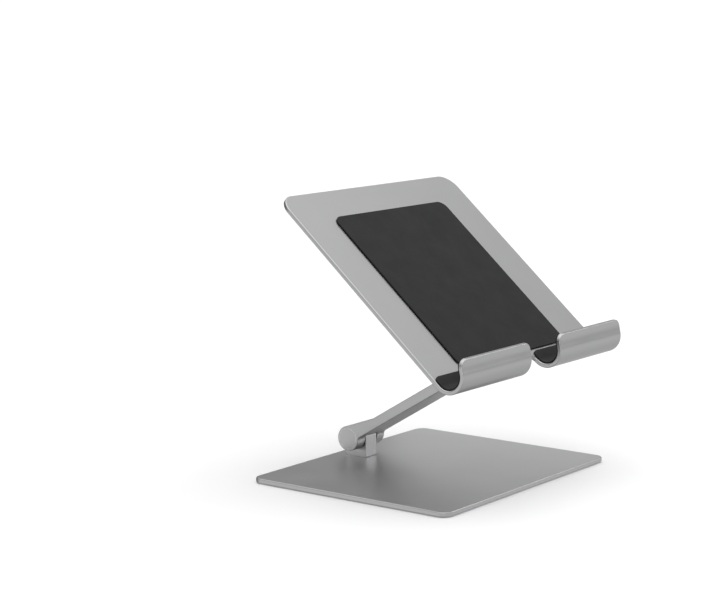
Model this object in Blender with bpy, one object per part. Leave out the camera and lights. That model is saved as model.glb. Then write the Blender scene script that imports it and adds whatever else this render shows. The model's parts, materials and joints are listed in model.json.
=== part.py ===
"""Tablet stand: a flat base, a hinged arm and a bent-sheet holder with two hooks.

Run it with blender --background --python part.py, or from Blender's text editor.

Frame: +X to the right of a person who faces the stand, +Y away from them, +Z up. The origin is
on the table top, midway between the front of the hooks and the rear edge of the base.
"""

import math

import bmesh
import bpy
from mathutils import Matrix

MM = 0.001

# --- Driving dimensions ---------------------------------------------------------------------

REST_GAP = 0.3 * MM  # between two pieces that rest on each other
FIT_GAP = 0.2 * MM  # round a shaft, or between thin hinge parts

BASE_WIDTH = 172 * MM
BASE_DEPTH = 140 * MM
BASE_THICKNESS = 2.9 * MM
BASE_CORNER = 6.5 * MM
FOOT_HEIGHT = 0.4 * MM  # how far the pads lift the base off the table

AXIS_BEHIND_CENTRE = 53.8 * MM  # lower hinge axis, behind the middle of the base
AXIS_ABOVE_UNDERSIDE = 15.3 * MM

EAR_RADIUS = 7.7 * MM
BLOCK_WIDTH = 10.9 * MM  # the tongue that the arm's two ears straddle
ARM_WIDTH = 27.4 * MM
ARM_THICKNESS = 6 * MM
ARM_LENGTH = 115.5 * MM  # hinge axis to hinge axis
ARM_RISE = math.radians(31.1)  # above horizontal, towards the front
TAPER_LENGTH = 24.3 * MM  # from the axis to where the bar reaches its full slimness

HOLDER_WIDTH = 169.6 * MM
HOLDER_TILT = math.radians(40.8)  # the plate, above horizontal
SHEET = 2.5 * MM
PLATE_BEHIND = 8.7 * MM  # upper hinge axis, behind the back of the plate
PLATE_ABOVE = 133.1 * MM  # top edge of the plate, above the upper hinge axis
BEND_BELOW = 15.5 * MM  # centre of the hooks' bend, below that axis
HOOK_RADIUS = 10.7 * MM  # outside of the bend
HOOK_TURN = math.radians(146)
FLARE_RADIUS = 21.2 * MM  # middle of the sheet, where the lip turns outwards again
FLARE_TURN = math.radians(21)
CABLE_GAP = 31.1 * MM  # between the two hooks

# --- Dimensions worked out from them --------------------------------------------------------

EAR_INSIDE = BLOCK_WIDTH / 2 + 0.85 * MM
SLOT_ROOT = EAR_RADIUS + 0.5 * MM
BEND_RADIUS = HOOK_RADIUS - SHEET / 2
BEND_CENTRE = (-BEND_BELOW, PLATE_BEHIND + HOOK_RADIUS)
FLAT_LENGTH = PLATE_ABOVE + BEND_BELOW
SHEET_LENGTH = FLAT_LENGTH + BEND_RADIUS * HOOK_TURN + FLARE_RADIUS * FLARE_TURN

PLATE_TOP_CORNER = 11 * MM
LIP_CORNER = 5 * MM
NOTCH_CORNER = 5 * MM
NOTCH_START = FLAT_LENGTH - 4 * MM  # the gap between the hooks runs this far up the plate

LINER = 0.8 * MM
LINER_RISE = 6 * MM  # how far a liner runs up the front of the plate
LINER_INSET = 0.8 * MM
LINER_CORNER = 4 * MM
PLATE_PAD_WIDTH = 110 * MM
PLATE_PAD_LOW = -8 * MM  # its lower and upper edge, from the upper hinge axis
PLATE_PAD_HIGH = 112 * MM
PLATE_PAD = 0.8 * MM

SCREW_SPACING = 9.2 * MM
SCREW_RADIUS = 1.5 * MM
SCREW_HEAD_RADIUS = 2.9 * MM
SCREW_RIM = 0.25 * MM
SCREW_HEAD = SCREW_HEAD_RADIUS - SCREW_RADIUS + SCREW_RIM
SCREW_POINT = 0.4 * MM
SCREW_SUNK = 0.1 * MM
SCREW_SOCKET_RADIUS = 1.15 * MM  # over the corners of the hexagon
SCREW_SOCKET_DEPTH = 1.1 * MM
POST_SCREW_LENGTH = 9.3 * MM
BLOCK_SCREW_LENGTH = 7 * MM

BOLT_RADIUS = 2.5 * MM
BOLT_HEAD_RADIUS = 4.2 * MM
BOLT_HEAD = 2.8 * MM
BOLT_END = 12.2 * MM  # from the middle of the arm to the end of the thread
BOLT_SOCKET_RADIUS = 1.73 * MM
BOLT_SOCKET_DEPTH = 1.6 * MM
HARDWARE_EDGE = 0.4 * MM  # chamfer on bolts
SPRING_RADIUS = 3.95 * MM
SPRING_CONE = 0.25 * MM
SPRING_LEAF = 0.35 * MM
WASHER_RADIUS = 6.6 * MM
BUSH_RADIUS = 3.6 * MM
BUSH_SHORT = 0.1 * MM  # how far the bush ends inside each face of its block
BORE_RADIUS = BUSH_RADIUS + FIT_GAP
CAP_RADIUS = 6.2 * MM
CAP_RECESS = 1.2 * MM
CAP_SUNK = 0.1 * MM  # below the face of the ear
CAP_EDGE = 0.2 * MM
HEAD_SEAT = 9.4 * MM  # floor of the bolt head's counterbore, from the middle
NUT_SEAT = 8.8 * MM  # floor of the nut's pocket, from the middle
NUT_RADIUS = 8 * MM / math.sqrt(3)  # over the corners, 8 mm over the flats
NUT = 2.6 * MM

FOOT_PAD_RADIUS = 6 * MM
FOOT_PAD_POCKET = 0.8 * MM
FOOT_PAD_INSET = 14 * MM
FOOT_PAD_EDGE = 0.25 * MM
POST_POCKET = 0.5 * MM  # how deep the post sits in the base

HUG = 1 * MM  # how far a cutter runs past the surface that it cuts


def holder_to_base(y, z):
    """A point in the holder's frame, as (y, z) from the middle of the base's underside."""
    axis_y = AXIS_BEHIND_CENTRE - ARM_LENGTH * math.cos(ARM_RISE)
    axis_z = AXIS_ABOVE_UNDERSIDE + ARM_LENGTH * math.sin(ARM_RISE)
    return (
        axis_y + y * math.cos(HOLDER_TILT) - z * math.sin(HOLDER_TILT),
        axis_z + y * math.sin(HOLDER_TILT) + z * math.cos(HOLDER_TILT),
    )


HOOK_FRONT = holder_to_base(*BEND_CENTRE)[0] - HOOK_RADIUS
BASE_BACK_SHIFT = -(HOOK_FRONT + BASE_DEPTH / 2) / 2

# --- Finishes -------------------------------------------------------------------------------


def finish(name, colour, metallic, roughness):
    made = bpy.data.materials.new(name)
    made.use_nodes = True
    shader = made.node_tree.nodes["Principled BSDF"]
    shader.inputs["Base Color"].default_value = (*colour, 1)
    shader.inputs["Metallic"].default_value = metallic
    shader.inputs["Roughness"].default_value = roughness
    return made


FINISHES = {
    "anodised": ((0.43, 0.43, 0.435), 1.0, 0.34),
    "silicone": ((0.013, 0.013, 0.014), 0.0, 0.6),
    "steel": ((0.45, 0.45, 0.46), 1.0, 0.3),
    "nylon": ((0.03, 0.03, 0.03), 0.0, 0.45),
    "bronze": ((0.55, 0.4, 0.2), 1.0, 0.35),
}

# --- Building helpers -----------------------------------------------------------------------

ALONG_X = Matrix(((0, 0, 1, 0), (1, 0, 0, 0), (0, 1, 0, 0), (0, 0, 0, 1)))


def arc(centre, radius, start, end, steps):
    """Points on an arc from start to end degrees, both included."""
    angles = [math.radians(start + (end - start) * i / steps) for i in range(steps + 1)]
    return [(centre[0] + radius * math.cos(a), centre[1] + radius * math.sin(a)) for a in angles]


def hexagon(radius):
    """A hexagon, with the radius of the circle through its corners."""
    return arc((0, 0), radius, 0, 300, 5)


def rounded_rectangle(width, depth, corner, steps=6):
    """A rectangle centred on the origin, with round corners."""
    across = width / 2 - corner
    along = depth / 2 - corner
    outline = []
    for centre, start in (
        ((across, along), 0),
        ((-across, along), 90),
        ((-across, -along), 180),
        ((across, -along), 270),
    ):
        outline += arc(centre, corner, start, start + 90, steps)
    return outline


def prism(outline, low, high, along="Z"):
    """A flat outline extruded from low to high: (x, y) along Z, or (y, z) along X."""
    solid = bmesh.new()
    floor = solid.faces.new([solid.verts.new((a, b, low)) for a, b in outline])
    raised = bmesh.ops.extrude_face_region(solid, geom=[floor])["geom"]
    top = [part for part in raised if isinstance(part, bmesh.types.BMVert)]
    bmesh.ops.translate(solid, verts=top, vec=(0, 0, high - low))
    if along == "X":
        bmesh.ops.transform(solid, matrix=ALONG_X, verts=solid.verts)
    bmesh.ops.recalc_face_normals(solid, faces=solid.faces)
    return solid


def turned(profile, steps=24, along="Z"):
    """A closed profile of (radius, height) points, spun round the Z or the X axis."""
    solid = bmesh.new()
    points = [solid.verts.new((radius, 0, height)) for radius, height in profile]
    edges = [solid.edges.new(pair) for pair in zip(points, points[1:])]
    if profile[0][0] or profile[-1][0]:
        edges.append(solid.edges.new((points[-1], points[0])))
    bmesh.ops.spin(
        solid, geom=points + edges, axis=(0, 0, 1), cent=(0, 0, 0), angle=math.tau, steps=steps
    )
    bmesh.ops.remove_doubles(solid, verts=solid.verts, dist=0.001 * MM)
    if along == "X":
        bmesh.ops.transform(solid, matrix=ALONG_X, verts=solid.verts)
    bmesh.ops.recalc_face_normals(solid, faces=solid.faces)
    return solid


def tube(inner, outer, low, high):
    """The profile of a plain ring or, with no inner radius, of a disc."""
    return [(inner, low), (outer, low), (outer, high), (inner, high)]


def ribbon(rows):
    """A surface down through rows of (y, z, edges, is_open), where edges lists each row's x.

    Every row has as many edges. The middle strip is left out above each row that is_open.
    """
    surface = bmesh.new()
    lines = [
        ([surface.verts.new((x, y, z)) for x in edges], is_open) for y, z, edges, is_open in rows
    ]
    for (upper, _), (lower, is_open) in zip(lines, lines[1:]):
        strips = len(upper) - 1
        for i in range(strips):
            if is_open and i == strips // 2:
                continue
            surface.faces.new((upper[i], lower[i], lower[i + 1], upper[i + 1]))
    return surface


def frame_at(name, parent, location, turn=0.0):
    """An empty that carries one body's pieces, turned about X."""
    made = bpy.data.objects.new(name, None)
    bpy.context.scene.collection.objects.link(made)
    made.empty_display_size = 10 * MM
    made.parent = parent
    made.location = location
    made.rotation_euler = (turn, 0, 0)
    return made


def piece(name, solid, kind, frame, location=(0, 0, 0), turn=0.0):
    """Puts a solid in the scene as one named sub-part of the body that frame carries."""
    mesh = bpy.data.meshes.new(name)
    solid.to_mesh(mesh)
    solid.free()
    mesh.shade_smooth()
    mesh.set_sharp_from_angle(angle=math.radians(35))
    if kind:
        mesh.materials.append(materials[kind])
    made = bpy.data.objects.new(name, mesh)
    bpy.context.scene.collection.objects.link(made)
    made.parent = frame
    made.location = location
    made.rotation_euler = (turn, 0, 0)
    return made


def soften(target, width, segments=1):
    """Chamfers or rounds the sharp edges of a piece."""
    bevel = target.modifiers.new("edges", "BEVEL")
    bevel.width = width
    bevel.segments = segments
    bevel.limit_method = "ANGLE"
    bevel.angle_limit = math.radians(50)


def cut(target, name, solid, location=(0, 0, 0), turn=0.0):
    """Takes a shape away from a piece that is in the same frame."""
    cutter = piece(f"cut_{name}", solid, None, target.parent, location, turn)
    cutter.hide_render = True
    cutter.display_type = "WIRE"
    boolean = target.modifiers.new(name, "BOOLEAN")
    boolean.operation = "DIFFERENCE"
    boolean.object = cutter


def thicken(target, thickness):
    solidify = target.modifiers.new("sheet", "SOLIDIFY")
    solidify.thickness = thickness
    solidify.offset = 0
    solidify.use_even_offset = True


# --- The bent sheet -------------------------------------------------------------------------


def sheet_point(distance, inset=0.0):
    """A point (y, z) of the bent sheet, measured along its middle from the top edge.

    inset moves it towards the tablet. The frame is the holder's: origin on the upper hinge
    axis, +Y up the plate, +Z out of its front.
    """
    if distance <= FLAT_LENGTH:
        return PLATE_ABOVE - distance, PLATE_BEHIND + SHEET / 2 + inset
    turn = (distance - FLAT_LENGTH) / BEND_RADIUS
    if turn <= HOOK_TURN:
        centre = BEND_CENTRE
        radius = -(BEND_RADIUS - inset)
    else:
        flare = (distance - FLAT_LENGTH - BEND_RADIUS * HOOK_TURN) / FLARE_RADIUS
        reach = BEND_RADIUS + FLARE_RADIUS
        centre = (
            BEND_CENTRE[0] - reach * math.sin(HOOK_TURN),
            BEND_CENTRE[1] - reach * math.cos(HOOK_TURN),
        )
        radius = FLARE_RADIUS + inset
        turn = HOOK_TURN - flare
    return centre[0] + radius * math.sin(turn), centre[1] + radius * math.cos(turn)


def pulled_in(distance, corner):
    """How far a round corner pulls a side in, at a distance from the edge that it ends on."""
    if distance >= corner:
        return 0.0
    return corner - math.sqrt(max(0.0, corner**2 - (corner - distance) ** 2))


def corner_steps(corner, steps):
    """Distances from the edge that divide a round corner evenly."""
    return [corner * (1 - math.cos(math.radians(90 * i / steps))) for i in range(steps + 1)]


def hook_steps():
    """Distances that divide the bend and the flare."""
    bend = [FLAT_LENGTH + BEND_RADIUS * HOOK_TURN * i / 20 for i in range(21)]
    flare = FLARE_RADIUS * FLARE_TURN - LIP_CORNER
    return bend + [bend[-1] + flare * i / 2 for i in (1, 2)]


def holder_rows():
    """The sheet's outline as rows across it, from the top edge round to the lips."""
    stations = set(corner_steps(PLATE_TOP_CORNER, 6))
    stations |= {NOTCH_START + step for step in corner_steps(NOTCH_CORNER, 4)}
    stations |= set(hook_steps())
    stations |= {SHEET_LENGTH - step for step in corner_steps(LIP_CORNER, 4)}
    rows = []
    last = -MM
    for distance in sorted(stations):
        if distance - last < 0.05 * MM:
            continue
        last = distance
        lip = pulled_in(SHEET_LENGTH - distance, LIP_CORNER)
        side = HOLDER_WIDTH / 2 - pulled_in(distance, PLATE_TOP_CORNER) - lip
        gap = CABLE_GAP / 2 - NOTCH_CORNER
        in_gap = distance > NOTCH_START + 0.01 * MM
        if in_gap:
            gap = CABLE_GAP / 2 - pulled_in(distance - NOTCH_START, NOTCH_CORNER) + lip
        rows.append((*sheet_point(distance), (-side, -gap, gap, side), in_gap))
    return rows


def liner_rows(side):
    """One hook's liner, down the plate, round the bend and up the lip. side is -1 or 1."""
    start = FLAT_LENGTH - LINER_RISE
    end = SHEET_LENGTH - 1 * MM
    corner = LINER_CORNER
    stations = [start + step for step in corner_steps(corner, 3)]
    stations += [step for step in hook_steps() if step < end - corner - 0.3 * MM]
    stations += [end - step for step in reversed(corner_steps(corner, 3))]
    inset = SHEET / 2 + FIT_GAP + LINER / 2
    rows = []
    for distance in stations:
        pull = pulled_in(distance - start, corner) + pulled_in(end - distance, corner)
        inner = CABLE_GAP / 2 + LINER_INSET + pull
        outer = HOLDER_WIDTH / 2 - LINER_INSET - pull
        edges = sorted((side * inner, side * outer))
        rows.append((*sheet_point(distance, inset), edges, False))
    return rows


# --- Screws and hinge hardware --------------------------------------------------------------


def countersunk_screw(name, frame, location, turn, length):
    """A socket countersunk screw along Z: the head's face at z = 0, the shank below it."""
    profile = [
        (0, 0),
        (SCREW_HEAD_RADIUS, 0),
        (SCREW_HEAD_RADIUS, -SCREW_RIM),
        (SCREW_RADIUS, -SCREW_HEAD),
        (SCREW_RADIUS, SCREW_POINT - length),
        (SCREW_RADIUS - SCREW_POINT, -length),
        (0, -length),
    ]
    screw = piece(name, turned(profile, 20), "steel", frame, location, turn)
    socket = prism(hexagon(SCREW_SOCKET_RADIUS), -SCREW_SOCKET_DEPTH, HUG)
    cut(screw, f"{name}_socket", socket, location, turn)


def countersink(target, name, location, turn, depth):
    """The hole for such a screw, through a sheet of the given depth."""
    rim = SCREW_HEAD_RADIUS + REST_GAP
    hole = SCREW_RADIUS + REST_GAP
    floor = -SCREW_RIM - SCREW_SUNK
    profile = [
        (0, HUG),
        (rim, HUG),
        (rim, floor),
        (hole, floor - (rim - hole)),
        (hole, -depth - HUG),
        (0, -depth - HUG),
    ]
    cut(target, name, turned(profile, 20), location, turn)


def hinge_hardware(prefix, frame, location):
    """Bolt, nut, disc spring, friction washers and end caps of one hinge, along X."""

    def add(name, solid, kind):
        return piece(f"{prefix}_{name}", solid, kind, frame, location)

    edge = HARDWARE_EDGE
    clear = BOLT_RADIUS + FIT_GAP
    seat = -HEAD_SEAT - FIT_GAP
    top = seat - BOLT_HEAD
    profile = [
        (0, top),
        (BOLT_HEAD_RADIUS - edge, top),
        (BOLT_HEAD_RADIUS, top + edge),
        (BOLT_HEAD_RADIUS, seat),
        (BOLT_RADIUS, seat),
        (BOLT_RADIUS, BOLT_END - edge),
        (BOLT_RADIUS - edge, BOLT_END),
        (0, BOLT_END),
    ]
    bolt = add("bolt", turned(profile, along="X"), "steel")
    socket = prism(hexagon(BOLT_SOCKET_RADIUS), top - HUG, top + BOLT_SOCKET_DEPTH, along="X")
    cut(bolt, f"{prefix}_bolt_socket", socket, location)

    low = NUT_SEAT + FIT_GAP
    cone = [
        (clear, low + SPRING_CONE),
        (SPRING_RADIUS, low),
        (SPRING_RADIUS, low + SPRING_LEAF),
        (clear, low + SPRING_CONE + SPRING_LEAF),
    ]
    add("disc_spring", turned(cone, along="X"), "steel")

    low += SPRING_CONE + SPRING_LEAF + FIT_GAP
    nut = add("nut", prism(hexagon(NUT_RADIUS), low, low + NUT, along="X"), "steel")
    thread = turned(tube(0, clear, low - HUG, low + NUT + HUG), along="X")
    cut(nut, f"{prefix}_nut_thread", thread, location)

    washer_low = BLOCK_WIDTH / 2 + FIT_GAP
    washer_high = EAR_INSIDE - FIT_GAP
    recess = ARM_WIDTH / 2 - CAP_RECESS + FIT_GAP
    face = ARM_WIDTH / 2 - CAP_SUNK
    for side, sign in (("left", -1), ("right", 1)):
        ring = tube(clear, WASHER_RADIUS, sign * washer_low, sign * washer_high)
        add(f"friction_washer_{side}", turned(ring, along="X"), "nylon")
        disc = [
            (0, sign * recess),
            (CAP_RADIUS, sign * recess),
            (CAP_RADIUS, sign * (face - CAP_EDGE)),
            (CAP_RADIUS - CAP_EDGE, sign * face),
            (0, sign * face),
        ]
        add(f"cap_{side}", turned(disc, 32, along="X"), "anodised")


def hinge_block(name, frame, foot, turn=0.0):
    """A rectangular tongue with a round end on the hinge axis, its foot towards -Z."""
    outline = arc((0, 0), EAR_RADIUS, 0, 180, 14)
    outline += [(-EAR_RADIUS, -foot), (EAR_RADIUS, -foot)]
    solid = prism(outline, -BLOCK_WIDTH / 2, BLOCK_WIDTH / 2, along="X")
    block = piece(name, solid, "anodised", frame, turn=turn)
    soften(block, 0.35 * MM)
    bore = tube(0, BORE_RADIUS, -BLOCK_WIDTH, BLOCK_WIDTH)
    cut(block, f"{name}_bore", turned(bore, along="X"), turn=turn)
    return block


def tap(block, name, reach, turn=0.0):
    """The two threaded holes in a block's foot, from below up to z = -reach."""
    for i, y in enumerate((-SCREW_SPACING / 2, SCREW_SPACING / 2), 1):
        hole = turned(tube(0, SCREW_RADIUS + FIT_GAP, -2 * AXIS_ABOVE_UNDERSIDE, -reach), 16)
        bmesh.ops.translate(hole, verts=hole.verts, vec=(0, y, 0))
        cut(block, f"{name}_{i}", hole, turn=turn)


def bush(name, frame):
    """The plain bearing in a block's bore."""
    half = BLOCK_WIDTH / 2 - BUSH_SHORT
    ring = tube(BOLT_RADIUS + FIT_GAP, BUSH_RADIUS, -half, half)
    piece(name, turned(ring, along="X"), "bronze", frame)


# --- The three bodies -----------------------------------------------------------------------


def build_base(frame, axis_frame):
    plate = piece(
        "base_plate",
        prism(rounded_rectangle(BASE_WIDTH, BASE_DEPTH, BASE_CORNER, 8), 0, BASE_THICKNESS),
        "anodised",
        frame,
    )
    soften(plate, 0.4 * MM, 2)

    pocket_floor = BASE_THICKNESS - POST_POCKET
    seat = rounded_rectangle(BLOCK_WIDTH + 2 * FIT_GAP, 2 * (EAR_RADIUS + FIT_GAP), 0.5 * MM, 2)
    where = (0, AXIS_BEHIND_CENTRE, 0)
    cut(plate, "post_pocket", prism(seat, pocket_floor, BASE_THICKNESS + HUG), where)

    across = BASE_WIDTH / 2 - FOOT_PAD_INSET
    along = BASE_DEPTH / 2 - FOOT_PAD_INSET
    pad_profile = [
        (0, -FOOT_HEIGHT),
        (FOOT_PAD_RADIUS - FOOT_PAD_EDGE, -FOOT_HEIGHT),
        (FOOT_PAD_RADIUS, -FOOT_HEIGHT + FOOT_PAD_EDGE),
        (FOOT_PAD_RADIUS, FOOT_PAD_POCKET - REST_GAP),
        (0, FOOT_PAD_POCKET - REST_GAP),
    ]
    for name, x, y in (
        ("front_left", -across, -along),
        ("front_right", across, -along),
        ("rear_left", -across, along),
        ("rear_right", across, along),
    ):
        hollow = turned(tube(0, FOOT_PAD_RADIUS + REST_GAP, -HUG, FOOT_PAD_POCKET))
        cut(plate, f"pad_pocket_{name}", hollow, (x, y, 0))
        piece(f"foot_pad_{name}", turned(pad_profile), "silicone", frame, (x, y, 0))

    foot = AXIS_ABOVE_UNDERSIDE - pocket_floor - REST_GAP
    post = hinge_block("hinge_post", axis_frame, foot)
    tap(post, "post_thread", BORE_RADIUS + 1 * MM)
    bush("post_bush", axis_frame)
    for i, y in enumerate((-SCREW_SPACING / 2, SCREW_SPACING / 2), 1):
        place = (0, AXIS_BEHIND_CENTRE + y, 0)
        countersink(plate, f"post_screw_hole_{i}", place, math.pi, BASE_THICKNESS)
        sunk = (0, place[1], SCREW_SUNK)
        countersunk_screw(f"post_screw_{i}", frame, sunk, math.pi, POST_SCREW_LENGTH)


def arm_outline():
    """The arm's side view, (y, z) with -Y along the arm, alike at both ends.

    The top runs down from each ear to the slim bar. The underside is straight, and meets the
    ears in a small fillet.
    """
    half = ARM_THICKNESS / 2
    fillet = 3 * MM
    reach = math.hypot(TAPER_LENGTH, half)
    slope = math.degrees(math.asin(EAR_RADIUS / reach) - math.atan2(half, TAPER_LENGTH))
    fillet_y = math.sqrt((EAR_RADIUS + fillet) ** 2 - (half + fillet) ** 2)
    low = math.degrees(math.atan2(half + fillet, fillet_y))

    near = [(-TAPER_LENGTH, half)]
    near += arc((0, 0), EAR_RADIUS, 90 + slope, -180 + low, 22)
    near += arc((-fillet_y, -half - fillet), fillet, low, 90, 4)
    far = [(-ARM_LENGTH - y, z) for y, z in reversed(near)]
    return near + far


def build_arm(frame):
    half = ARM_WIDTH / 2
    arm = piece("arm", prism(arm_outline(), -half, half, along="X"), "anodised", frame)
    soften(arm, 0.5 * MM)

    recess = CAP_RADIUS + FIT_GAP
    head = BOLT_HEAD_RADIUS + REST_GAP
    shank = BOLT_RADIUS + FIT_GAP
    bolt_hole = [
        (0, -half - HUG),
        (recess, -half - HUG),
        (recess, -half + CAP_RECESS),
        (head, -half + CAP_RECESS),
        (head, -HEAD_SEAT),
        (shank, -HEAD_SEAT),
        (shank, half - CAP_RECESS),
        (recess, half - CAP_RECESS),
        (recess, half + HUG),
        (0, half + HUG),
    ]
    for prefix, y, root in (("lower", 0, -1), ("upper", -ARM_LENGTH, 1)):
        place = (0, y, 0)
        far = EAR_RADIUS + HUG
        slot = [(root * SLOT_ROOT, -far), (-root * far, -far), (-root * far, far)]
        slot.append((root * SLOT_ROOT, far))
        cut(arm, f"{prefix}_slot", prism(slot, -EAR_INSIDE, EAR_INSIDE, along="X"), place)
        cut(arm, f"{prefix}_bolt_hole", turned(bolt_hole, 32, along="X"), place)
        pocket = prism(hexagon(NUT_RADIUS + REST_GAP), NUT_SEAT, half + HUG, along="X")
        cut(arm, f"{prefix}_nut_pocket", pocket, place)
        hinge_hardware(prefix, frame, place)


def build_holder(frame):
    plate = piece("holder_plate", ribbon(holder_rows()), "anodised", frame)
    thicken(plate, SHEET)
    soften(plate, 0.25 * MM)

    foot = PLATE_BEHIND - REST_GAP
    block = hinge_block("holder_block", frame, foot, math.pi)
    tap(block, "block_thread", 3.3 * MM, math.pi)
    bush("holder_bush", frame)
    front = PLATE_BEHIND + SHEET
    for i, y in enumerate((-SCREW_SPACING / 2, SCREW_SPACING / 2), 1):
        countersink(plate, f"block_screw_hole_{i}", (0, y, front), 0, SHEET)
        sunk = (0, y, front - SCREW_SUNK)
        countersunk_screw(f"block_screw_{i}", frame, sunk, 0, BLOCK_SCREW_LENGTH)

    for side, sign in (("left", -1), ("right", 1)):
        liner = piece(f"hook_liner_{side}", ribbon(liner_rows(sign)), "silicone", frame)
        thicken(liner, LINER)

    pad_low = front + FIT_GAP
    middle = (PLATE_PAD_LOW + PLATE_PAD_HIGH) / 2
    outline = rounded_rectangle(PLATE_PAD_WIDTH, PLATE_PAD_HIGH - PLATE_PAD_LOW, 6 * MM)
    sheet = prism(outline, pad_low, pad_low + PLATE_PAD)
    pad = piece("plate_pad", sheet, "silicone", frame, (0, middle, 0))
    soften(pad, 0.25 * MM)


for leftover in list(bpy.data.objects):
    bpy.data.objects.remove(leftover)
materials = {name: finish(name, *values) for name, values in FINISHES.items()}

base_frame = frame_at("base_frame", None, (0, BASE_BACK_SHIFT, FOOT_HEIGHT))
lower_axis = (0, AXIS_BEHIND_CENTRE, AXIS_ABOVE_UNDERSIDE)
post_frame = frame_at("post_frame", base_frame, lower_axis)
arm_frame = frame_at("arm_frame", base_frame, lower_axis, -ARM_RISE)
holder_frame = frame_at("holder_frame", arm_frame, (0, -ARM_LENGTH, 0), ARM_RISE + HOLDER_TILT)

build_base(base_frame, post_frame)
build_arm(arm_frame)
build_holder(holder_frame)
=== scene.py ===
"""The looks of the tablet stand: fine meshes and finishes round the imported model, studio and camera.

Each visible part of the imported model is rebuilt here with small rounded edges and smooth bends, in
the frame of the body that it rides on. Lengths are in metres.
"""

import json
import math

import bmesh
import bpy
from mathutils import Matrix, Vector


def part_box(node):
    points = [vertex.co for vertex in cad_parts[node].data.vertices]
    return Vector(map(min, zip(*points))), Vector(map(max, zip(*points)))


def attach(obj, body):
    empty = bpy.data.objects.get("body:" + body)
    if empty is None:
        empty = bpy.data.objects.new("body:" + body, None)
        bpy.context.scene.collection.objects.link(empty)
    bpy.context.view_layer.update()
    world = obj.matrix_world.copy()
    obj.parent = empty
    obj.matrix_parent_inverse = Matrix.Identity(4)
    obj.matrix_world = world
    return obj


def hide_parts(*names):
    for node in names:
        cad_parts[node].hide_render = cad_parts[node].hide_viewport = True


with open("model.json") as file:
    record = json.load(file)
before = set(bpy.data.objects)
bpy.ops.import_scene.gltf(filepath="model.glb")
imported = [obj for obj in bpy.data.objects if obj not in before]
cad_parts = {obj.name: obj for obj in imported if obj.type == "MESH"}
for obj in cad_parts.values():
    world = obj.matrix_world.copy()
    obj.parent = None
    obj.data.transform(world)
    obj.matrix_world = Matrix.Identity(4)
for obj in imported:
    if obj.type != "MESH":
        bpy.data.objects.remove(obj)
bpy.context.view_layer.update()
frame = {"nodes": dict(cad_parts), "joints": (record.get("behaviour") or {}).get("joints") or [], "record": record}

MM = 0.001

# --- Frames of the three bodies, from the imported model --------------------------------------

joints = {joint["name"]: joint for joint in frame["joints"]}
mounts = {mount["name"]: mount for mount in frame["record"]["mounts"]}

lower_axis = Vector(joints["arm_hinge"]["pos_m"])
upper_axis = Vector(joints["holder_hinge"]["pos_m"])
along_arm = upper_axis - lower_axis
ARM_LENGTH = along_arm.length
ARM_RISE = math.atan2(along_arm.z, -along_arm.y)
plate_normal = Vector(mounts["tablet_rest"]["axis"])
HOLDER_TILT = math.atan2(-plate_normal.y, plate_normal.z)

base_low, base_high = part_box("base_plate")
base_middle = (base_low + base_high) / 2
BASE_FRAME = Matrix.Translation((base_middle.x, base_middle.y, base_low.z))
POST_FRAME = Matrix.Translation(lower_axis)
ARM_FRAME = Matrix.Translation(lower_axis) @ Matrix.Rotation(-ARM_RISE, 4, "X")
HOLDER_FRAME = Matrix.Translation(upper_axis) @ Matrix.Rotation(HOLDER_TILT, 4, "X")
UPSIDE_DOWN = Matrix.Rotation(math.pi, 4, "X")
BLOCK_FRAME = HOLDER_FRAME @ UPSIDE_DOWN


def local_box(node, axes):
    """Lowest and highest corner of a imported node, in one of the frames above."""
    to_local = axes.inverted()
    points = [to_local @ v.co for v in frame["nodes"][node].data.vertices]
    low = Vector([min(p[i] for p in points) for i in range(3)])
    high = Vector([max(p[i] for p in points) for i in range(3)])
    return low, high


# --- Dimensions -----------------------------------------------------------------------------

BASE_WIDTH = base_high.x - base_low.x
BASE_DEPTH = base_high.y - base_low.y
BASE_THICKNESS = base_high.z - base_low.z
BASE_CORNER = 6.5 * MM
BASE_EDGE = 0.65 * MM  # how far the edges are rounded, as in every name that ends in EDGE

_, arm_high = local_box("arm", ARM_FRAME)
EAR_RADIUS = arm_high.y
ARM_HALF_WIDTH = arm_high.x
ARM_HALF_THICKNESS = 3 * MM
TAPER_LENGTH = 24.3 * MM  # from the axis to where the bar reaches its full slimness
ARM_FILLET = 3 * MM  # below, where the bar runs into the ear
ARM_BLEND = 8 * MM  # above, where the taper ends
ARM_EDGE = 0.5 * MM
ARM_BEVEL = 0.2 * MM  # round its slots and holes

_, block_high = local_box("hinge_post", POST_FRAME)
BLOCK_HALF_WIDTH = block_high.x
BLOCK_EDGE = 0.35 * MM
BLOCK_FOOT_CORNER = 0.6 * MM
EAR_INSIDE = BLOCK_HALF_WIDTH + 0.85 * MM  # leaves room for a friction washer
SLOT_ROOT = EAR_RADIUS + 0.5 * MM  # how far from its axis a fork's slot ends

plate_low, plate_high = local_box("holder_plate", HOLDER_FRAME)
HOLDER_WIDTH = plate_high.x - plate_low.x
SHEET = 2.5 * MM
PLATE_BEHIND = plate_low.z  # the plate's back, in the holder's frame
PLATE_ABOVE = plate_high.y  # its top edge
HOOK_RADIUS = 10.7 * MM  # outside the bend
HOOK_TURN = math.radians(146)
FLARE_RADIUS = 21.2 * MM  # to the middle of the sheet, where the lip turns outwards
FLARE_TURN = math.radians(21)
CABLE_GAP = 31.1 * MM  # between the two hooks
BEND_RADIUS = HOOK_RADIUS - SHEET / 2  # to the middle of the sheet
BEND_CENTRE = (plate_low.y + HOOK_RADIUS, PLATE_BEHIND + HOOK_RADIUS)
PLATE_TOP_CORNER = 11 * MM
LIP_CORNER = 5 * MM
NOTCH_CORNER = 5 * MM
SHEET_EDGE = 0.6 * MM
LINER = 0.8 * MM  # thickness
LINER_INSET = 0.8 * MM  # from the sides of the hook
LINER_CORNER = 4 * MM
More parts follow.
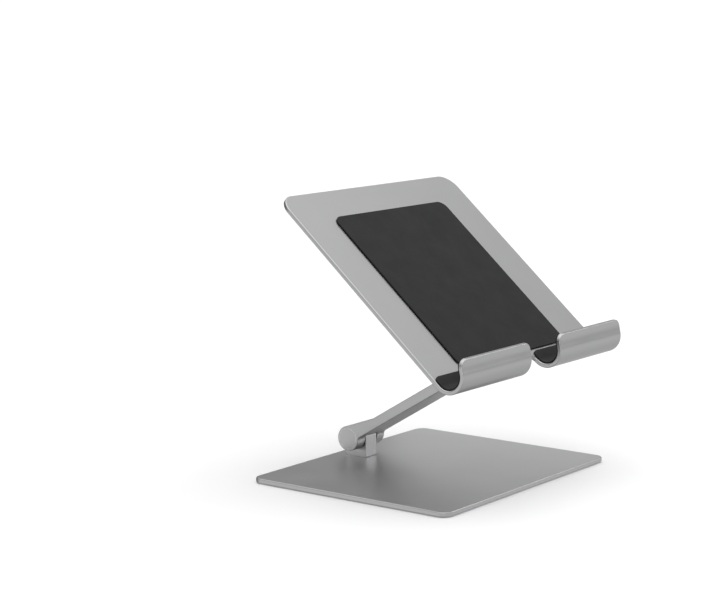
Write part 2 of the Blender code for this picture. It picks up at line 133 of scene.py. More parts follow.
LINER_EDGE = 0.35 * MM

# Distances down the unrolled sheet, from the plate's top edge.
FLAT_LENGTH = PLATE_ABOVE - BEND_CENTRE[0]
BEND_END = FLAT_LENGTH + BEND_RADIUS * HOOK_TURN
SHEET_LENGTH = BEND_END + FLARE_RADIUS * FLARE_TURN
NOTCH_START = FLAT_LENGTH - 4 * MM
LINER_START = FLAT_LENGTH - 6 * MM
LINER_END = SHEET_LENGTH - 1 * MM

REST_GAP = 0.3 * MM  # round screws, bolt heads, nuts and foot pads in their hollows
FIT_GAP = 0.2 * MM  # between closely fitted pieces
PAD_CORNER = 6 * MM
PAD_EDGE = 0.3 * MM

SCREW_SPACING = 9.2 * MM  # between the two screws of a block
SCREW_RADIUS = 1.5 * MM
SCREW_HEAD_RADIUS = 2.9 * MM
SCREW_RIM = 0.25 * MM  # height of the straight rim of the head
SCREW_SUNK = 0.1 * MM  # below the surface
SCREW_POINT = 0.4 * MM  # chamfer at the end
SCREW_SOCKET_RADIUS = 1.15 * MM  # over the corners of the hexagon
SCREW_SOCKET_DEPTH = 1.1 * MM
SCREW_BEVEL = 0.05 * MM

BOLT_RADIUS = 2.5 * MM
BOLT_HEAD_RADIUS = 4.2 * MM
BUSH_RADIUS = 3.6 * MM
CAP_RADIUS = 6.2 * MM
CAP_RECESS = 1.2 * MM
CAP_SUNK = 0.03 * MM  # below the face of the ear
CAP_SEAM = 0.04 * MM
CAP_EDGE = 0.1 * MM
HEAD_SEAT = 9.4 * MM  # how far from the middle the bolt's head sits in the left ear
NUT_SEAT = 8.8 * MM  # and the nut in the right ear
NUT_RADIUS = 8 * MM / math.sqrt(3)
WASHER_RADIUS = 6.6 * MM

FOOT_PAD_RADIUS = 6 * MM
FOOT_PAD_POCKET = 0.8 * MM
FOOT_PAD_INSET = 14 * MM
FOOT_PAD_EDGE = 0.25 * MM
POST_POCKET = 0.5 * MM  # how deep the post sits in the base
POST_POCKET_CORNER = 0.5 * MM

HUG = 1 * MM  # how far a cutter runs past the surface that it cuts

SOFTEN_ABOVE = math.radians(50)  # edges sharper than this get a bevel, where a piece has one
SMOOTH_BELOW = math.radians(40)  # edges blunter than this are shaded smooth

# --- Mesh building --------------------------------------------------------------------------

ALONG_X = Matrix(((0, 0, 1, 0), (1, 0, 0, 0), (0, 1, 0, 0), (0, 0, 0, 1)))


def outline(corners, inset=0.0):
    """The points through round corners (centre, radius, start, end, steps), pulled in by inset.

    Degrees that run upwards make an outer corner, and downwards an inner one.
    """
    points = []
    for (a, b), radius, start, end, steps in corners:
        reach = radius - inset if end > start else radius + inset
        for i in range(steps + 1):
            angle = math.radians(start + (end - start) * i / steps)
            points.append((a + reach * math.cos(angle), b + reach * math.sin(angle)))
    return points


def box_corners(low, high, radius, steps=10):
    """The corners of a rounded rectangle from one corner point to the opposite one."""
    return [
        ((high[0] - radius, high[1] - radius), radius, 0, 90, steps),
        ((low[0] + radius, high[1] - radius), radius, 90, 180, steps),
        ((low[0] + radius, low[1] + radius), radius, 180, 270, steps),
        ((high[0] - radius, low[1] + radius), radius, 270, 360, steps),
    ]


def slab(corners, low, high, edge, along="Z", steps=4):
    """A flat solid whose edges are rounded to a radius of edge, from low to high."""
    angles = [math.radians(90 * i / steps) for i in range(steps + 1)]
    profile = [(edge * (1 - math.sin(a)), low + edge * (1 - math.cos(a))) for a in angles]
    profile += [(edge * (1 - math.cos(a)), high - edge * (1 - math.sin(a))) for a in angles]
    solid = bmesh.new()
    rings = []
    for inset, height in profile:
        rings.append([solid.verts.new((a, b, height)) for a, b in outline(corners, inset)])
    for below, above in zip(rings, rings[1:]):
        for i in range(len(below)):
            solid.faces.new((below[i - 1], below[i], above[i], above[i - 1]))
    solid.faces.new(rings[0][::-1])
    solid.faces.new(rings[-1])
    if along == "X":
        bmesh.ops.transform(solid, matrix=ALONG_X, verts=solid.verts)
    return solid


def prism(points, low, high, along="Z"):
    """A sharp-edged solid over a flat outline."""
    solid = bmesh.new()
    floor = solid.faces.new([solid.verts.new((a, b, low)) for a, b in points])
    raised = bmesh.ops.extrude_face_region(solid, geom=[floor])["geom"]
    top = [part for part in raised if isinstance(part, bmesh.types.BMVert)]
    bmesh.ops.translate(solid, verts=top, vec=(0, 0, high - low))
    if along == "X":
        bmesh.ops.transform(solid, matrix=ALONG_X, verts=solid.verts)
    bmesh.ops.recalc_face_normals(solid, faces=solid.faces)
    return solid


def turned(profile, steps=64, along="Z"):
    """A closed profile of (radius, height) points, spun round the Z or the X axis."""
    solid = bmesh.new()
    points = [solid.verts.new((radius, 0, height)) for radius, height in profile]
    edges = [solid.edges.new(pair) for pair in zip(points, points[1:])]
    if profile[0][0] or profile[-1][0]:
        edges.append(solid.edges.new((points[-1], points[0])))
    bmesh.ops.spin(
        solid, geom=points + edges, axis=(0, 0, 1), cent=(0, 0, 0), angle=math.tau, steps=steps
    )
    bmesh.ops.remove_doubles(solid, verts=solid.verts, dist=0.001 * MM)
    if along == "X":
        bmesh.ops.transform(solid, matrix=ALONG_X, verts=solid.verts)
    bmesh.ops.recalc_face_normals(solid, faces=solid.faces)
    return solid


def tube(inner, outer, low, high):
    """The profile of a plain ring or, with no inner radius, of a disc."""
    return [(inner, low), (outer, low), (outer, high), (inner, high)]


def quarter(centre, radius, start, end, steps=5):
    """Points of a rounded corner in a turned profile."""
    return outline([(centre, radius, start, end, steps)])


def hexagon(radius):
    """Six points, at a radius over the corners."""
    return outline([((0, 0), radius, 0, 300, 5)])


def moved(solid, offset):
    """The same solid, shifted."""
    bmesh.ops.translate(solid, verts=solid.verts, vec=offset)
    return solid


def to_object(name, solid):
    """Turns a bmesh solid into an object of the scene."""
    mesh = bpy.data.meshes.new(name)
    solid.to_mesh(mesh)
    solid.free()
    made = bpy.data.objects.new(name, mesh)
    bpy.context.scene.collection.objects.link(made)
    return made


def make_piece(name, solid, axes, body, kind, cutters=(), bevel=0.0):
    """Cuts, softens and smooths a solid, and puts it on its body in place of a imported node.

    The node has the piece's name without "_fine".
    """
    made = to_object(name, solid)
    helpers = []
    for cutter in cutters:
        helper = to_object(f"{name}_cutter_{len(helpers)}", cutter)
        helpers.append(helper)
        boolean = made.modifiers.new("cut", "BOOLEAN")
        boolean.operation = "DIFFERENCE"
        boolean.object = helper
    if bevel:
        soften = made.modifiers.new("soften", "BEVEL")
        soften.width = bevel
        soften.segments = 2
        soften.limit_method = "ANGLE"
        soften.angle_limit = SOFTEN_ABOVE
    if made.modifiers:
        bpy.context.view_layer.update()
        evaluated = made.evaluated_get(bpy.context.evaluated_depsgraph_get())
        shaped = bpy.data.meshes.new_from_object(evaluated)
        made.modifiers.clear()
        made.data = shaped
    for helper in helpers:
        bpy.data.objects.remove(helper)
    made.data.transform(axes)
    made.data.shade_smooth()
    made.data.set_sharp_from_angle(angle=SMOOTH_BELOW)
    weighted = made.modifiers.new("normals", "WEIGHTED_NORMAL")
    weighted.keep_sharp = True
    made.data.materials.clear()
    made.data.materials.append(MATERIALS[kind])
    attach(made, body)
    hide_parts(name.removesuffix("_fine"))


# --- Finishes -------------------------------------------------------------------------------


def new_material(name, colour, metallic, roughness):
    """A material with its shader, ready for nodes that vary it."""
    made = bpy.data.materials.new(name)
    made.use_nodes = True
    shader = made.node_tree.nodes["Principled BSDF"]
    shader.inputs["Base Color"].default_value = (*colour, 1)
    shader.inputs["Metallic"].default_value = metallic
    shader.inputs["Roughness"].default_value = roughness
    return made, made.node_tree, shader


def add_node(tree, kind, **settings):
    """A new node, with some of its properties set."""
    node = tree.nodes.new(kind)
    for name, value in settings.items():
        setattr(node, name, value)
    return node


def place(tree):
    """The coordinates that the patterns are laid in: the object's own, in metres."""
    return add_node(tree, "ShaderNodeTexCoord").outputs["Object"]


def noise(tree, vector, size, detail=2.0, roughness=0.5):
    """Noise with features about size metres across, as a value round 0.5."""
    node = add_node(tree, "ShaderNodeTexNoise")
    node.inputs["Scale"].default_value = 1 / size
    node.inputs["Detail"].default_value = detail
    node.inputs["Roughness"].default_value = roughness
    tree.links.new(vector, node.inputs["Vector"])
    return node.outputs["Fac"]


def span(tree, value, low, high, start=0.3, end=0.7):
    """The value from start to end, stretched from low to high."""
    node = add_node(tree, "ShaderNodeMapRange")
    for name, number in (("From Min", start), ("From Max", end), ("To Min", low), ("To Max", high)):
        node.inputs[name].default_value = number
    tree.links.new(value, node.inputs["Value"])
    return node.outputs["Result"]


def combine(tree, operation, first, second):
    """A Math node over two values, each a socket or a number."""
    node = add_node(tree, "ShaderNodeMath", operation=operation)
    for i, value in enumerate((first, second)):
        if isinstance(value, (int, float)):
            node.inputs[i].default_value = value
        else:
            tree.links.new(value, node.inputs[i])
    return node.outputs[0]


def mixed(tree, factor, first, second):
    """A colour between two others."""
    node = add_node(tree, "ShaderNodeMix", data_type="RGBA")
    tree.links.new(factor, node.inputs["Factor"])
    for name, colour in (("A", first), ("B", second)):
        socket = [s for s in node.inputs if s.name == name and s.type == "RGBA"][0]
        if isinstance(colour, tuple):
            socket.default_value = (*colour, 1)
        else:
            tree.links.new(colour, socket)
    return [s for s in node.outputs if s.type == "RGBA"][0]


def bumped(tree, shader, height, distance):
    """Raises the surface by up to a distance, where the height is 1."""
    node = add_node(tree, "ShaderNodeBump")
    node.inputs["Distance"].default_value = distance
    tree.links.new(height, node.inputs["Height"])
    tree.links.new(node.outputs["Normal"], shader.inputs["Normal"])


# Paints sharp edges lighter: partly worn bare metal, partly a painted highlight along the edges.
def edge_wear_and_highlight(tree, radius):
    """1 on sharp edges and 0 on flats, from how far a rounded-over normal turns away."""
    rounded = add_node(tree, "ShaderNodeBevel", samples=6)
    rounded.inputs["Radius"].default_value = radius
    geometry = add_node(tree, "ShaderNodeNewGeometry")
    dot = add_node(tree, "ShaderNodeVectorMath", operation="DOT_PRODUCT")
    tree.links.new(rounded.outputs["Normal"], dot.inputs[0])
    tree.links.new(geometry.outputs["Normal"], dot.inputs[1])
    return span(tree, dot.outputs["Value"], 1.0, 0.0, 0.9, 0.995)


def anodised():
    """Bead-blasted aluminium, anodised silver: fine grain, cloudy gloss, brighter sharp edges (wear, and a painted
    highlight).
    """
    made, tree, shader = new_material("anodised_aluminium", (0.43, 0.43, 0.435), 1.0, 0.34)
    where = place(tree)
    cloud = noise(tree, where, 30 * MM, 3.0)
    grain = noise(tree, where, 0.35 * MM, 2.0, 0.7)
    uneven = span(tree, noise(tree, where, 4 * MM), 0.88, 1.0)
    # Sharp edges are painted lighter and made glossier: partly wear, partly a painted highlight along them.
    wear_and_highlight = combine(tree, "MULTIPLY", edge_wear_and_highlight(tree, 0.5 * MM), uneven)
    body = mixed(tree, cloud, (0.420, 0.421, 0.426), (0.440, 0.441, 0.444))
    tree.links.new(mixed(tree, wear_and_highlight, body, (0.92, 0.92, 0.93)), shader.inputs["Base Color"])
    rough = combine(tree, "ADD", span(tree, cloud, 0.32, 0.36), span(tree, grain, -0.03, 0.03))
    rough = combine(tree, "SUBTRACT", rough, combine(tree, "MULTIPLY", wear_and_highlight, 0.12))
    tree.links.new(rough, shader.inputs["Roughness"])
    bumped(tree, shader, grain, 0.006 * MM)
    return made


def silicone():
    """Matt black rubber with a fine pore and a little dust."""
    made, tree, shader = new_material("black_silicone", (0.013, 0.013, 0.014), 0.0, 0.6)
    shader.inputs["Specular IOR Level"].default_value = 0.2
    where = place(tree)
    pores = noise(tree, where, 0.25 * MM, 3.0, 0.6)
    cloud = noise(tree, where, 14 * MM, 3.0)
    dust = span(tree, noise(tree, where, 0.5 * MM, 1.0), 0.0, 1.0, 0.70, 0.76)
    body = mixed(tree, cloud, (0.010, 0.010, 0.011), (0.016, 0.016, 0.017))
    tree.links.new(mixed(tree, dust, body, (0.03, 0.03, 0.03)), shader.inputs["Base Color"])
    tree.links.new(span(tree, cloud, 0.54, 0.68), shader.inputs["Roughness"])
    bumped(tree, shader, pores, 0.02 * MM)
    return made


def steel():
    """Zinc-plated steel with fine turning marks."""
    made, tree, shader = new_material("plated_steel", (0.45, 0.45, 0.46), 1.0, 0.3)
    where = place(tree)
    cloud = noise(tree, where, 1.5 * MM, 2.0)
    marks = noise(tree, where, 0.08 * MM, 1.0)
    colour = mixed(tree, cloud, (0.40, 0.40, 0.41), (0.50, 0.50, 0.50))
    tree.links.new(colour, shader.inputs["Base Color"])
    tree.links.new(span(tree, cloud, 0.24, 0.36), shader.inputs["Roughness"])
    bumped(tree, shader, marks, 0.004 * MM)
    return made


def nylon():
    """Moulded black nylon."""
    made, tree, shader = new_material("black_nylon", (0.03, 0.03, 0.03), 0.0, 0.45)
    where = place(tree)
    cloud = noise(tree, where, 2 * MM, 2.0)
    colour = mixed(tree, cloud, (0.024, 0.024, 0.024), (0.038, 0.038, 0.038))
    tree.links.new(colour, shader.inputs["Base Color"])
    tree.links.new(span(tree, cloud, 0.4, 0.52), shader.inputs["Roughness"])
    bumped(tree, shader, noise(tree, where, 0.15 * MM), 0.006 * MM)
    return made


def bronze():
    """Sintered bearing bronze, with its open pores."""
    made, tree, shader = new_material("sintered_bronze", (0.55, 0.4, 0.2), 1.0, 0.35)
    where = place(tree)
    pores = noise(tree, where, 0.12 * MM, 2.0)
    colour = mixed(tree, pores, (0.42, 0.29, 0.14), (0.6, 0.44, 0.23))
    tree.links.new(colour, shader.inputs["Base Color"])
    tree.links.new(span(tree, pores, 0.45, 0.3), shader.inputs["Roughness"])
    bumped(tree, shader, pores, 0.01 * MM)
    return made


MATERIALS = {
    "anodised": anodised(),
    "silicone": silicone(),
    "steel": steel(),
    "nylon": nylon(),
    "bronze": bronze(),
}

for row in frame["record"]["subparts"]:
    data = frame["nodes"][row["node"]].data
    data.materials.clear()
    data.materials.append(MATERIALS[row["material_slot"]])

# --- The bent sheet -------------------------------------------------------------------------


def sheet_point(distance, height):
    """A point (y, z) of the holder, from its distance down the unrolled sheet from the top edge.

    height is measured from the middle of the sheet towards the tablet.
    """
    if distance <= FLAT_LENGTH:
        return PLATE_ABOVE - distance, PLATE_BEHIND + SHEET / 2 + height
    turn = (distance - FLAT_LENGTH) / BEND_RADIUS
    if turn <= HOOK_TURN:
        centre = BEND_CENTRE
        radius = -(BEND_RADIUS - height)
    else:
        reach = BEND_RADIUS + FLARE_RADIUS
        centre = (
            BEND_CENTRE[0] - reach * math.sin(HOOK_TURN),
            BEND_CENTRE[1] - reach * math.cos(HOOK_TURN),
        )
        radius = FLARE_RADIUS + height
        turn = HOOK_TURN - (distance - BEND_END) / FLARE_RADIUS
    return centre[0] + radius * math.sin(turn), centre[1] + radius * math.cos(turn)


def rolled_up(solid):
    """Bends a flat slab, drawn as (x, distance, height), into the holder's shape."""
    bend_steps = 60
    flare_steps = 8
    folds = [FLAT_LENGTH + BEND_RADIUS * HOOK_TURN * i / bend_steps for i in range(bend_steps + 1)]
    folds += [BEND_END + (SHEET_LENGTH - BEND_END) * i / flare_steps for i in range(1, flare_steps)]
    for fold in folds:
        everything = solid.verts[:] + solid.edges[:] + solid.faces[:]
        bmesh.ops.bisect_plane(
            solid, geom=everything, dist=0.001 * MM, plane_co=(0, fold, 0), plane_no=(0, 1, 0)
        )
    for vert in solid.verts:
        x, distance, height = vert.co
        vert.co = (x, *sheet_point(distance, height))
    bmesh.ops.recalc_face_normals(solid, faces=solid.faces)
    return solid


def holder_corners():
    """The unrolled sheet: round top corners, and two hooks with a gap between them."""
    side = HOLDER_WIDTH / 2
    gap = CABLE_GAP / 2
    top = PLATE_TOP_CORNER
    lip = SHEET_LENGTH - LIP_CORNER
    root = NOTCH_START + NOTCH_CORNER
    return [
        ((-side + top, top), top, 180, 270, 16),
        ((side - top, top), top, 270, 360, 16),
        ((side - LIP_CORNER, lip), LIP_CORNER, 0, 90, 8),
        ((gap + LIP_CORNER, lip), LIP_CORNER, 90, 180, 8),
        ((gap - NOTCH_CORNER, root), NOTCH_CORNER, 0, -90, 10),
        ((-gap + NOTCH_CORNER, root), NOTCH_CORNER, -90, -180, 10),
        ((-gap - LIP_CORNER, lip), LIP_CORNER, 0, 90, 8),
        ((-side + LIP_CORNER, lip), LIP_CORNER, 90, 180, 8),
    ]


def countersink(offset, depth, up=1):
    """The hole for a countersunk screw whose head faces up or down, through a sheet."""
    rim = SCREW_HEAD_RADIUS + REST_GAP
    hole = SCREW_RADIUS + REST_GAP
    floor = -SCREW_RIM - SCREW_SUNK
    profile = [
        (0, HUG),
        (rim, HUG),
        (rim, floor),
        (hole, floor - (rim - hole)),
        (hole, -depth - HUG),
        (0, -depth - HUG),
    ]
    return moved(turned([(radius, up * height) for radius, height in profile]), offset)


def screw_rows():
    """The number of each screw of a pair, and where it sits along Y."""
    return ((1, -SCREW_SPACING / 2), (2, SCREW_SPACING / 2))


def build_holder():
    """The bent plate, its two hook liners, its pad and the block behind it."""
    front = PLATE_BEHIND + SHEET
    holes = [countersink((0, y, front), SHEET) for _, y in screw_rows()]
    sheet = rolled_up(slab(holder_corners(), -SHEET / 2, SHEET / 2, SHEET_EDGE))
    make_piece("holder_plate_fine", sheet, HOLDER_FRAME, "holder", "anodised", cutters=holes)

    low = SHEET / 2 + FIT_GAP
    inner = CABLE_GAP / 2 + LINER_INSET
    outer = HOLDER_WIDTH / 2 - LINER_INSET
    for side, sign in (("left", -1), ("right", 1)):
        across = sorted((sign * inner, sign * outer))
        corners = box_corners((across[0], LINER_START), (across[1], LINER_END), LINER_CORNER)
        liner = rolled_up(slab(corners, low, low + LINER, LINER_EDGE))
        make_piece(f"hook_liner_{side}_fine", liner, HOLDER_FRAME, "holder", "silicone")

    pad_low, pad_high = local_box("plate_pad", HOLDER_FRAME)
    corners = box_corners(pad_low, pad_high, PAD_CORNER, 16)
    pad = slab(corners, pad_low.z, pad_high.z, PAD_EDGE)
    make_piece("plate_pad_fine", pad, HOLDER_FRAME, "holder", "silicone")

    build_block("holder_block", BLOCK_FRAME, "holder")


# --- Blocks, arm and hinge parts ------------------------------------------------------------


def build_block(node, axes, body):
    """A tongue with a round end on its hinge axis, and its foot down."""
    foot = local_box(node, axes)[0].z
    corner = BLOCK_FOOT_CORNER
    corners = [
        ((0, 0), EAR_RADIUS, 0, 180, 40),
        ((-EAR_RADIUS + corner, foot + corner), corner, 180, 270, 4),
        ((EAR_RADIUS - corner, foot + corner), corner, 270, 360, 4),
    ]
    solid = slab(corners, -BLOCK_HALF_WIDTH, BLOCK_HALF_WIDTH, BLOCK_EDGE, along="X")
    through = 2 * BLOCK_HALF_WIDTH
    bore = turned(tube(0, BUSH_RADIUS + FIT_GAP, -through, through), along="X")
    make_piece(f"{node}_fine", solid, axes, body, "anodised", cutters=[bore])


def arm_corners():
    """The arm's side view, as (y, z) with -Y along the arm, alike at both ends."""
    half = ARM_HALF_THICKNESS
    reach = math.hypot(TAPER_LENGTH, half)
    slope = math.degrees(math.asin(EAR_RADIUS / reach) - math.atan2(half, TAPER_LENGTH))
    fillet_y = math.sqrt((EAR_RADIUS + ARM_FILLET) ** 2 - (half + ARM_FILLET) ** 2)
    low = math.degrees(math.atan2(half + ARM_FILLET, fillet_y))
    blend = ARM_BLEND
    blend_y = -TAPER_LENGTH - blend * math.tan(math.radians(slope / 2))
    near = [
        ((-fillet_y, -half - ARM_FILLET), ARM_FILLET, 90, low, 10),
        ((0, 0), EAR_RADIUS, -180 + low, 90 + slope, 60),
        ((blend_y, half + blend), blend, 270 + slope, 270, 4),
    ]
    far = [
        ((-ARM_LENGTH - centre[0], centre[1]), radius, 180 - end, 180 - start, steps)
        for centre, radius, start, end, steps in reversed(near)
    ]
    return near + far


def build_arm():
    """The bar with a fork at each end, and the caps and washers of both hinges."""
    half = ARM_HALF_WIDTH
    recess = CAP_RADIUS + FIT_GAP
    head = BOLT_HEAD_RADIUS + REST_GAP
    shank = BOLT_RADIUS + FIT_GAP
    bolt_hole = [
        (0, -half - HUG),
        (recess, -half - HUG),
        (recess, -half + CAP_RECESS),
        (head, -half + CAP_RECESS),
        (head, -HEAD_SEAT),
        (shank, -HEAD_SEAT),
        (shank, half - CAP_RECESS),
        (recess, half - CAP_RECESS),
        (recess, half + HUG),
        (0, half + HUG),
    ]
    far = EAR_RADIUS + HUG
    cutters = []
    for y, root in ((0, -1), (-ARM_LENGTH, 1)):
        slot = [(root * SLOT_ROOT, -far), (-root * far, -far), (-root * far, far)]
        slot.append((root * SLOT_ROOT, far))
        pocket = prism(hexagon(NUT_RADIUS + REST_GAP), NUT_SEAT, half + HUG, along="X")
        for solid in (
            prism(slot, -EAR_INSIDE, EAR_INSIDE, along="X"),
            turned(bolt_hole, along="X"),
            pocket,
        ):
            cutters.append(moved(solid, (0, y, 0)))
    solid = slab(arm_corners(), -half, half, ARM_EDGE, along="X")
    make_piece("arm_fine", solid, ARM_FRAME, "arm", "anodised", cutters=cutters, bevel=ARM_BEVEL)

    for prefix, y in (("lower", 0), ("upper", -ARM_LENGTH)):
        build_hinge_trim(prefix, ARM_FRAME @ Matrix.Translation((0, y, 0)))


def build_hinge_trim(prefix, axes):
    """The end caps and the friction washers of one hinge."""
    radius = CAP_RADIUS + FIT_GAP - CAP_SEAM
    back = ARM_HALF_WIDTH - CAP_RECESS + FIT_GAP
    face = ARM_HALF_WIDTH - CAP_SUNK
    cap = [(0, back), (radius, back)]
    cap += quarter((radius - CAP_EDGE, face - CAP_EDGE), CAP_EDGE, 0, 90)
    cap.append((0, face))
    washer_span = (BLOCK_HALF_WIDTH + FIT_GAP, EAR_INSIDE - FIT_GAP)
    washer = tube(BOLT_RADIUS + FIT_GAP, WASHER_RADIUS, *washer_span)
    for side, sign in (("left", -1), ("right", 1)):
        for name, profile, kind in (("cap", cap, "anodised"), ("friction_washer", washer, "nylon")):
            solid = turned([(reach, sign * x) for reach, x in profile], along="X")
            make_piece(f"{prefix}_{name}_{side}_fine", solid, axes, "arm", kind)


# --- Base -----------------------------------------------------------------------------------


def countersunk_screw(name, axes, body, length):
    """A socket countersunk screw along Z: the head's face at z = 0, the shank below it."""
    cone = SCREW_HEAD_RADIUS - SCREW_RADIUS
    profile = [
        (0, 0),
        (SCREW_HEAD_RADIUS, 0),
        (SCREW_HEAD_RADIUS, -SCREW_RIM),
        (SCREW_RADIUS, -SCREW_RIM - cone),
        (SCREW_RADIUS, SCREW_POINT - length),
        (SCREW_RADIUS - SCREW_POINT, -length),
        (0, -length),
    ]
    socket = prism(hexagon(SCREW_SOCKET_RADIUS), -SCREW_SOCKET_DEPTH, HUG)
    solid = turned(profile)
    make_piece(f"{name}_fine", solid, axes, body, "steel", cutters=[socket], bevel=SCREW_BEVEL)


def build_base():
    """The base plate with its pads, the post that stands on it and the post's screws."""
    across = BASE_WIDTH / 2 - FOOT_PAD_INSET
    along = BASE_DEPTH / 2 - FOOT_PAD_INSET
    feet = {
        "front_left": (-across, -along, 0),
        "front_right": (across, -along, 0),
        "rear_left": (-across, along, 0),
        "rear_right": (across, along, 0),
    }
    cutters = []
    for spot in feet.values():
        hollow = turned(tube(0, FOOT_PAD_RADIUS + REST_GAP, -HUG, FOOT_PAD_POCKET))
        cutters.append(moved(hollow, spot))
    post_y = lower_axis.y - BASE_FRAME.translation.y
    reach = (BLOCK_HALF_WIDTH + FIT_GAP, EAR_RADIUS + FIT_GAP)
    seat_low = (-reach[0], post_y - reach[1])
    seat_high = (reach[0], post_y + reach[1])
    seat = box_corners(seat_low, seat_high, POST_POCKET_CORNER, 4)
    floor = BASE_THICKNESS - POST_POCKET
    cutters.append(prism(outline(seat), floor, BASE_THICKNESS + HUG))
    for _, y in screw_rows():
        cutters.append(countersink((0, post_y + y, 0), BASE_THICKNESS, up=-1))
    size = (BASE_WIDTH / 2, BASE_DEPTH / 2)
    corners = box_corners((-size[0], -size[1]), size, BASE_CORNER, 20)
    solid = slab(corners, 0, BASE_THICKNESS, BASE_EDGE)
    make_piece("base_plate_fine", solid, BASE_FRAME, "base", "anodised", cutters=cutters)

    foot_height = base_low.z
    edge = FOOT_PAD_EDGE
    pad = [(0, FOOT_PAD_POCKET - REST_GAP), (FOOT_PAD_RADIUS, FOOT_PAD_POCKET - REST_GAP)]
    pad += quarter((FOOT_PAD_RADIUS - edge, edge - foot_height), edge, 360, 270)
    pad.append((0, -foot_height))
    for corner, spot in feet.items():
        axes = BASE_FRAME @ Matrix.Translation(spot)
        make_piece(f"foot_pad_{corner}_fine", turned(pad), axes, "base", "silicone")

    build_block("hinge_post", POST_FRAME, "base")
    for i, y in screw_rows():
        node = f"post_screw_{i}"
        low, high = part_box(node)
        axes = BASE_FRAME @ Matrix.Translation((0, post_y + y, SCREW_SUNK))
        countersunk_screw(node, axes @ UPSIDE_DOWN, "base", high.z - low.z)


# --- Studio ---------------------------------------------------------------------------------

FLOOR_REACH = 60  # from the middle to each edge
FLOOR_THICKNESS = 0.02
FLOOR_SUNK = 0.05 * MM  # below the foot pads, which would share its face

SKY_STRENGTH = 2.0
SKY = (  # height, from -1 straight down to 1 straight up, and the share of the strength there
    (-0.7, 0.32),
    (-0.25, 0.45),
    (-0.04, 0.5),
    (0.0, 0.19),
    (0.45, 0.25),
    (0.8, 0.75),
    (1.0, 0.99),
)
# Two sides of the sky that differ. Each is a direction, in degrees from +X towards +Y, the
# closeness to it where the change begins and is full, the change itself as a share of the sky's
# strength, and the heights between which it fades out.
SKY_SIDES = (
    (143, 0.6, 0.95, 0.2, 0.1, 0.35),
    (80, 0.6, 0.9, -0.6, 0.35, 0.75),
)

# A soft key from the right, a reflector on the camera's side, two fills for the post, which is
# in the holder's shade, and a glow on the base.
MIDDLE = (0, 0, 0.05)
LOW_HINGE = (0, lower_axis.y, 0.01)
BASE_FRONT = (0.03, -0.05, 0)
LIGHTS = (  # name, position, what it faces, width and height, radiance, the only piece it lights
    ("key", (2.16, -1.82, 1.15), MIDDLE, (1.1, 0.9), 3.5, None),
    ("reflector", (-1.9, -1.5, 0.5), MIDDLE, (0.7, 0.7), 3.5, None),
    ("front_fill", (0.8, -0.56, 0.06), LOW_HINGE, (0.7, 0.1), 2, "hinge_post_fine"),
    ("side_fill", (-0.8, 0.66, 0.06), LOW_HINGE, (0.7, 0.1), 8, "hinge_post_fine"),
    ("base_glow", (0.40, 0.21, 0.08), BASE_FRONT, (0.2, 0.12), 0.48, "base_plate_fine"),
)

CAMERA_POSITION = (-0.9832, -0.68715, 0.2918)
CAMERA_AZIMUTH = math.radians(-52.629)
CAMERA_DOWN = math.radians(8.827)
CAMERA_ROLL = math.radians(-0.204)
CAMERA_LENS = 103.53  # in mm, for a sensor 36 mm wide


def build_floor():
    """White paper, matt, and kept out of the metal's reflections so that they stay soft."""
    reach = FLOOR_REACH
    sheet = [(-reach, -reach), (reach, -reach), (reach, reach), (-reach, reach)]
    made = to_object("floor", prism(sheet, -FLOOR_THICKNESS, -FLOOR_SUNK))
    paper, _, shader = new_material("floor_paper", (0.92, 0.92, 0.92), 0.0, 0.9)
    shader.inputs["Specular IOR Level"].default_value = 0.1
    made.data.materials.append(paper)
    made.visible_glossy = False


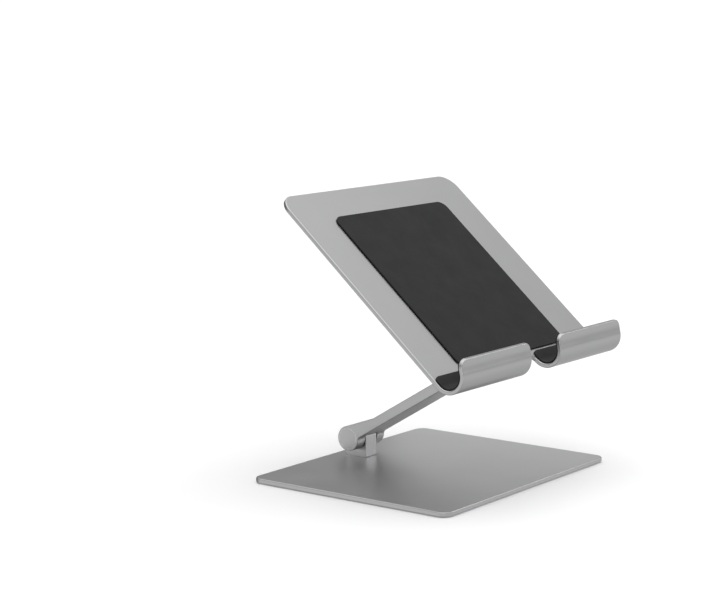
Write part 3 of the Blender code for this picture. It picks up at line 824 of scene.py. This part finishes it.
def build_world():
    """A bright ceiling over a dim horizon, two sides that differ, and the floor's glow below."""
    world = bpy.data.worlds.new("studio")
    bpy.context.scene.world = world
    world.use_nodes = True
    tree = world.node_tree
    background = tree.nodes["Background"]
    direction = add_node(tree, "ShaderNodeTexCoord").outputs["Generated"]
    split = add_node(tree, "ShaderNodeSeparateXYZ")
    tree.links.new(direction, split.inputs[0])
    height = split.outputs["Z"]
    ramp = add_node(tree, "ShaderNodeValToRGB")
    tree.links.new(span(tree, height, 0.0, 1.0, -1.0, 1.0), ramp.inputs["Fac"])
    elements = ramp.color_ramp.elements
    while len(elements) < len(SKY):
        elements.new(0.5)
    for element, (level, brightness) in zip(elements, SKY):
        element.position = (level + 1) / 2
        element.color = (brightness, brightness, brightness, 1)
    tree.links.new(ramp.outputs["Color"], background.inputs["Color"])
    strength = SKY_STRENGTH
    for degrees, begins, full, change, low, high in SKY_SIDES:
        turn = math.radians(degrees)
        facing = add_node(tree, "ShaderNodeVectorMath", operation="DOT_PRODUCT")
        facing.inputs[1].default_value = (math.cos(turn), math.sin(turn), 0)
        tree.links.new(direction, facing.inputs[0])
        side = span(tree, facing.outputs["Value"], 0.0, SKY_STRENGTH * change, begins, full)
        side = combine(tree, "MULTIPLY", side, span(tree, height, 1.0, 0.0, low, high))
        strength = combine(tree, "ADD", strength, side)
    tree.links.new(strength, background.inputs["Strength"])


def area_light(name, position, target, size, radiance, only):
    """A rectangular soft light that faces its target, on everything or only on one piece."""
    data = bpy.data.lights.new(name, "AREA")
    data.shape = "RECTANGLE"
    data.size, data.size_y = size
    data.energy = radiance * math.pi * size[0] * size[1]
    made = bpy.data.objects.new(name, data)
    bpy.context.scene.collection.objects.link(made)
    made.location = position
    aim = Vector(target) - Vector(position)
    made.rotation_euler = aim.to_track_quat("-Z", "Y").to_euler()
    if only:
        receivers = bpy.data.collections.new(name)
        receivers.objects.link(bpy.data.objects[only])
        made.light_linking.receiver_collection = receivers


def build_camera():
    """A long lens in front of the stand, to its left and a little above it."""
    data = bpy.data.cameras.new("camera")
    data.lens = CAMERA_LENS
    data.sensor_width = 36
    data.clip_end = 300  # past the far edge of the floor
    made = bpy.data.objects.new("camera", data)
    bpy.context.scene.collection.objects.link(made)
    turn = Matrix.Rotation(CAMERA_AZIMUTH, 4, "Z")
    tip = Matrix.Rotation(math.pi / 2 - CAMERA_DOWN, 4, "X")
    roll = Matrix.Rotation(CAMERA_ROLL, 4, "Z")
    made.matrix_world = Matrix.Translation(CAMERA_POSITION) @ turn @ tip @ roll
    bpy.context.scene.camera = made


build_base()
build_arm()
build_holder()
build_floor()
build_world()
for light in LIGHTS:
    area_light(*light)
build_camera()
bpy.context.scene.view_settings.view_transform = "Standard"
